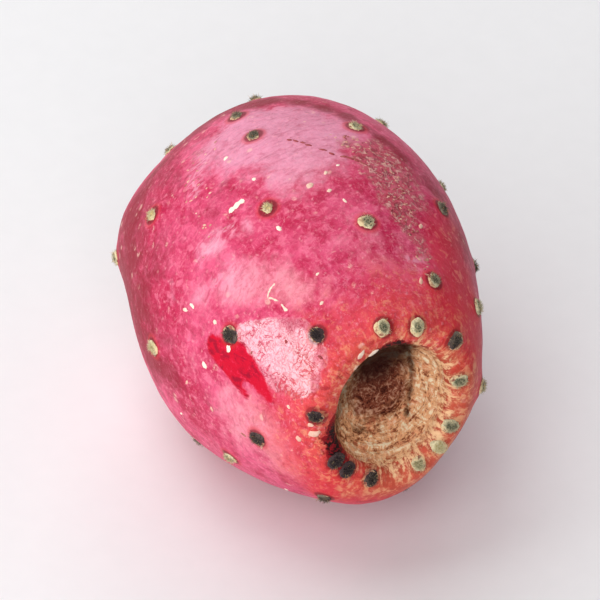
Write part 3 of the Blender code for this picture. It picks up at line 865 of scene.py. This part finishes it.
scab = Finish("pale cork")
place = scab.millimetres()
flakes = scab.clouds(place, 0.6, 3, 0.6)
grit = scab.clouds(place, 0.2, 2, 0.6)
pale_cork = scab.washed(
    tint(172, 104, 82),
    (tint(232, 206, 160), (flakes + scab.kept("pale") * 0.3).between(0.45, 0.75)),
    (tint(126, 56, 48), flakes.between(0.46, 0.32) * 0.8),
)
scab.surface(
    base_color=pale_cork,
    roughness=(0.7 + (grit - 0.5) * 0.3).clamped(),
    normal=scab.bump(flakes + grit * 0.5, 0.15 * MM),
)

finish_piece("areole_collars", collars, scab.material)

# The pads' felt stands up in short dull hairs, with a few stiff tawny barbed bristles left among them after
# the fruit was brushed. Both are rooted in the pads.

FELT_HAIRS = 150
FELT_LENGTHS = (0.25, 0.7)
FELT_THICKNESS = (0.025, 0.05)
BRISTLES = 7
BRISTLE_LENGTHS = (0.5, 1.0)
BRISTLE_THICKNESS = 0.035
draw = Random(23)
hairs = bmesh.new()
hairs.verts.layers.float.new("pale")
bristles = bmesh.new()


def hair(shape, stand, foot, direction, length, thickness):
    """One tapering three-sided hair from its foot; the corners that it adds are returned."""
    turn = direction.to_track_quat("Z", "Y").to_matrix().to_4x4()
    place = stand @ Matrix.Translation(foot) @ turn @ Matrix.Translation((0, 0, length / 2))
    sizes = {"radius1": thickness, "radius2": thickness * 0.2, "depth": length}
    return bmesh.ops.create_cone(shape, cap_ends=True, segments=3, matrix=place, **sizes)["verts"]


for size, (way, bearing, pale, _, _) in zip(pad_sizes, AREOLES):
    stand = standing(way, bearing, PAD_SUNK)
    tuft = bmesh.new()
    pale_layer = tuft.verts.layers.float.new("pale")
    for _ in range(FELT_HAIRS):
        angle = draw.uniform(0, 2 * pi)
        out = draw.uniform(0.2, 0.99)
        away = Vector((cos(angle) * out, sin(angle) * out, (1 - out * out) ** 0.5))
        foot = Vector((away.x * PAD_WIDTH * size, away.y * PAD_LENGTH * size, away.z * PAD_HEIGHT))
        drift = Vector((draw.uniform(-1, 1), draw.uniform(-1, 1), draw.uniform(-0.3, 0.6)))
        length = draw.uniform(*FELT_LENGTHS) * MM
        thickness = draw.uniform(*FELT_THICKNESS) * MM
        for corner in hair(tuft, stand, foot * 0.93 * MM, away + drift * 0.9, length, thickness):
            corner[pale_layer] = held(pale + draw.uniform(-0.3, 0.35))
    join(hairs, tuft)
    for _ in range(BRISTLES):
        angle = draw.uniform(0, 2 * pi)
        foot = Vector((cos(angle) * 0.5 * PAD_WIDTH, sin(angle) * 0.5 * PAD_LENGTH, PAD_HEIGHT * 0.7)) * MM
        lean = Vector((cos(angle) * 0.7, sin(angle) * 0.7, draw.uniform(0.5, 1.2)))
        hair(bristles, stand, foot, lean, draw.uniform(*BRISTLE_LENGTHS) * MM, BRISTLE_THICKNESS * MM)

fuzz = Finish("felt hairs")
dusty = fuzz.clouds(fuzz.millimetres(), 0.8, 2, 0.5)
fuzz_pale = (fuzz.kept("pale") + (dusty - 0.5) * 0.5).between(0, 1)
fuzz.surface(
    base_color=fuzz.mix(tint(66, 48, 50), tint(218, 208, 170), fuzz_pale),
    roughness=(0.85 + (dusty - 0.5) * 0.2).clamped(),
)

finish_piece("areole_felt", hairs, fuzz.material, smooth=False)

horn = Finish("tawny bristles")
banding = horn.clouds(horn.millimetres(), 0.5, 2, 0.5)
horn.surface(
    base_color=horn.mix(tint(150, 96, 44), tint(222, 184, 112), banding.between(0.35, 0.65)),
    roughness=(0.45 + (banding - 0.5) * 0.2).clamped(),
)

finish_piece("glochids", bristles, horn.material, smooth=False)

# The flecks are healed nicks in the rind: thin scabs of cream to brown cork, single or strung out along the
# scratch of a spine. They grew over the cuts and stand a hair proud.

# Way back, bearing, length, width, turn in degrees from the round of the fruit, and how brown
FLECKS = (
    (39, 116, 1.5, 1.25, 0, 0), (39, 118, 1.9, 1.35, 5, 0), (39, 120, 1.5, 1.25, 0, 0),
    (51, 111, 1.1, 0.9, 40, 0.1), (41.5, 108, 0.8, 0.7, 90, 0.1), (34, 94, 1.3, 1.1, 30, 0.35),
    (31.5, 89, 0.9, 0.7, 20, 0.3), (29.5, 111, 1.2, 0.8, 100, 0.1), (35.5, 87, 0.9, 0.6, 60, 0.3),
    (28.5, 86, 1.2, 0.5, 110, 0.2), (36.5, 82, 0.7, 0.5, 20, 0), (23, 60, 1.2, 0.7, 60, 0.4),
    (11.5, 67, 1.2, 0.7, 80, 0.45), (28, 154, 1, 0.8, 90, 0.2), (23.5, 159, 1.8, 1, 20, 0),
    (28, 173, 1.4, 1.1, 60, 0), (35, 158, 1.9, 0.8, 115, 0.2), (34, 155, 1.6, 0.7, 85, 0.1),
    (18, 109, 0.8, 0.7, 0, 0.2), (13.5, 115, 0.8, 0.6, 0, 0.3), (2.5, 114, 2, 0.9, 20, 0.25),
    (1, 104, 2.2, 0.9, 10, 0.15), (1, 123, 1.2, 0.7, 0, 0.4), (14, 140, 0.8, 0.6, 60, 1),
    (7.5, 134, 0.9, 0.5, 90, 1), (19, 155, 0.6, 0.5, 0, 0.9), (9.5, 171, 0.9, 0.7, 60, 0.3),
    (7.5, 190, 1.2, 0.9, 30, 0.45), (5, 177, 1.2, 0.8, 110, 0.4), (4.5, 184, 2.2, 1.4, 120, 0.4),
    (24.5, 70, 1, 0.6, 100, 0.9), (16, 61, 0.9, 0.7, 60, 0.8),
)
# Scratches as lines of (way, bearing), with their width and how brown
SCRATCHES = (
    (((47.5, 92), (45, 88), (42.5, 86)), 0.6, 1.0),
    (((41.5, 84), (39, 81)), 0.6, 1.0),
    (((38.5, 79), (37.5, 76), (36, 73), (33.5, 69)), 0.55, 0.95),
    (((22, 125), (22, 128), (21.5, 131)), 0.40, 0.2),
    (((21.5, 131), (19.5, 129)), 0.45, 0.25),
    (((18.5, 129), (17, 129)), 0.55, 0.2),
)
FLECK_HEIGHT = 0.17
FLECK_SUNK = 0.06
SCAB_STEP = 1.3
STRAY_FLECKS = 46
draw = Random(5)
flecks = bmesh.new()
flecks.verts.layers.float.new("brown")


def fleck(way, bearing, length, width, turn, brown, number, faces=(8, 5), rough=0.5):
    """One scab of cork, flat on the skin."""
    stand = standing(way, bearing, FLECK_SUNK) @ Matrix.Rotation(radians(turn), 4, "Z")
    seed = Vector((number * 2.3, 5, number * 0.7))
    lump(flecks, stand, (length / 2, width / 2, FLECK_HEIGHT), seed, faces, rough, "brown", brown)


def scratch(line, width, brown):
    """Short scabs strung out along a line, each lying along it."""
    for (way, bearing), (next_way, next_bearing) in zip(line, line[1:]):
        run = on_skin(next_way, next_bearing) - on_skin(way, bearing)
        sideways = (on_skin(way, next_bearing) - on_skin(way, bearing)).length
        turn = degrees(atan2((way - next_way) * MM, sideways if next_bearing > bearing else -sideways))
        pieces = max(2, round(run.length / (SCAB_STEP * MM)))
        for step in range(pieces):
            share = (step + draw.uniform(0.3, 0.7)) / pieces
            spot = (way + (next_way - way) * share, bearing + (next_bearing - bearing) * share)
            length = draw.uniform(1.0, 1.9)
            lean = turn + draw.uniform(-18, 18)
            fleck(*spot, length, width * draw.uniform(0.7, 1.3), lean, brown, draw.random() * 50)


def spatter(line, reach, count, brown):
    """Small scabs scattered to both sides of a line, the least brown given."""
    for _ in range(count):
        share = draw.random() * (len(line) - 1)
        (way, bearing), (next_way, next_bearing) = line[int(share)], line[int(share) + 1]
        way += (next_way - way) * (share % 1) + draw.gauss(0, reach)
        bearing += (next_bearing - bearing) * (share % 1) + draw.gauss(0, reach * 2.2)
        length = draw.uniform(0.3, 0.75)
        shade = brown + draw.uniform(0, 0.5)
        fleck(way, bearing, length, length * 0.5, draw.uniform(-50, 30), shade, draw.random() * 50)


for number, spot in enumerate(FLECKS):
    fleck(*spot, number, faces=(14, 8), rough=0.3)
spatter(((44, 76), (39, 68), (33, 65), (27, 66), (21, 64), (13, 63)), 1.1, 100, 0.5)
spatter(((58, 113), (53, 122), (46, 128), (37, 133)), 1.6, 26, 0.35)
for line, width, brown in SCRATCHES:
    scratch(line, width, brown)
# A few more strewn over the sides that the marks above leave bare
for number in range(STRAY_FLECKS):
    way = draw.uniform(8, SKIN_WAY - 4)
    bearing = draw.uniform(185, 420)
    size = draw.uniform(0.4, 1.0)
    length = size * draw.uniform(1, 2)
    turn = draw.uniform(0, 180)
    fleck(way, bearing, length, size * 0.7, turn, draw.uniform(0, 0.9), number + 60)

healed = Finish("healed nicks")
place = healed.millimetres()
flakes = healed.clouds(place, 0.5, 3, 0.6)
brown = (healed.kept("brown") + (flakes - 0.5) * 0.5).clamped()
crumbly = healed.washed(
    tint(254, 240, 220),
    (tint(232, 178, 156), brown.between(0, 0.5)),
    (tint(160, 54, 58), brown.between(0.5, 1)),
)
healed.surface(
    base_color=crumbly,
    roughness=(0.6 + (flakes - 0.5) * 0.4).clamped(),
    normal=healed.bump(flakes, 0.12 * MM),
)

finish_piece("cork_flecks", flecks, healed.material)

# The floor is a sheet of matt white card that the fruit lies on. It is 3 m square, far wider than the
# picture, and is no part of the fruit.

FLOOR_HALF = 1.5
floor_shape = bmesh.new()
bmesh.ops.create_grid(floor_shape, x_segments=1, y_segments=1, size=FLOOR_HALF)
floor_mesh = bpy.data.meshes.new("floor")
floor_shape.to_mesh(floor_mesh)
floor_shape.free()
card = Finish("white card")
fibre = card.clouds(card.millimetres(), 4, 3, 0.5)
card.surface(
    base_color=card.mix(tint(236, 235, 236), tint(240, 239, 240), fibre),
    roughness=0.9,
)

floor_mesh.materials.append(card.material)
floor = bpy.data.objects.new("floor", floor_mesh)
bpy.context.scene.collection.objects.link(floor)

# The light is that of a pale studio, with four soft boxes round the fruit and over it. The camera stands
# well back with a long lens, and looks down on the fruit with its flower scar to the lower right.

world = bpy.data.worlds.new("studio")
world.use_nodes = True
world.node_tree.nodes["Background"].inputs["Color"].default_value = (0.96, 0.97, 1, 1)
world.node_tree.nodes["Background"].inputs["Strength"].default_value = 0.22
bpy.context.scene.world = world
bpy.context.scene.view_settings.view_transform = "Standard"

MIDDLE = Vector((0.1, 0.2, 28.7)) * MM
# Name, azimuth and elevation in degrees, distance, width and height in metres, and watts
SOFT_BOXES = (
    ("left softbox", 4, 12, 0.6, 0.44, 0.30, 1.6),
    ("back softbox", -100, 38, 0.6, 0.50, 0.36, 1.5),
    ("top softbox", -20, 70, 0.7, 0.45, 0.45, 1.6),
    ("front softbox", 60, 36, 0.8, 0.50, 0.50, 2.9),
)
VIEW_AZIMUTH = 67.9
VIEW_ELEVATION = 39
VIEW_DISTANCE = 2.4
VIEW_WIDTH = 0.0972


def seen_from(azimuth, elevation, distance):
    """A place at a distance from the fruit's middle; azimuth 0 looks along +Y."""
    azimuth, elevation = radians(azimuth), radians(elevation)
    away = Vector((sin(azimuth) * cos(elevation), -cos(azimuth) * cos(elevation), sin(elevation)))
    return MIDDLE + away * distance


def aimed(thing, place):
    """Put a light or the camera in its place, turned to the fruit's middle."""
    thing.location = place
    thing.rotation_euler = (place - MIDDLE).to_track_quat("Z", "Y").to_euler()
    bpy.context.scene.collection.objects.link(thing)


for name, azimuth, elevation, distance, width, height, power in SOFT_BOXES:
    light = bpy.data.lights.new(name, "AREA")
    light.shape = "RECTANGLE"
    light.size = width
    light.size_y = height
    light.energy = power
    aimed(bpy.data.objects.new(name, light), seen_from(azimuth, elevation, distance))

lens = bpy.data.cameras.new("camera")
lens.sensor_width = 36
lens.angle = 2 * atan(VIEW_WIDTH / 2 / VIEW_DISTANCE)
lens.clip_start = 0.05
lens.clip_end = 20
camera = bpy.data.objects.new("camera", lens)
aimed(camera, seen_from(VIEW_AZIMUTH, VIEW_ELEVATION, VIEW_DISTANCE))
bpy.context.scene.camera = camera
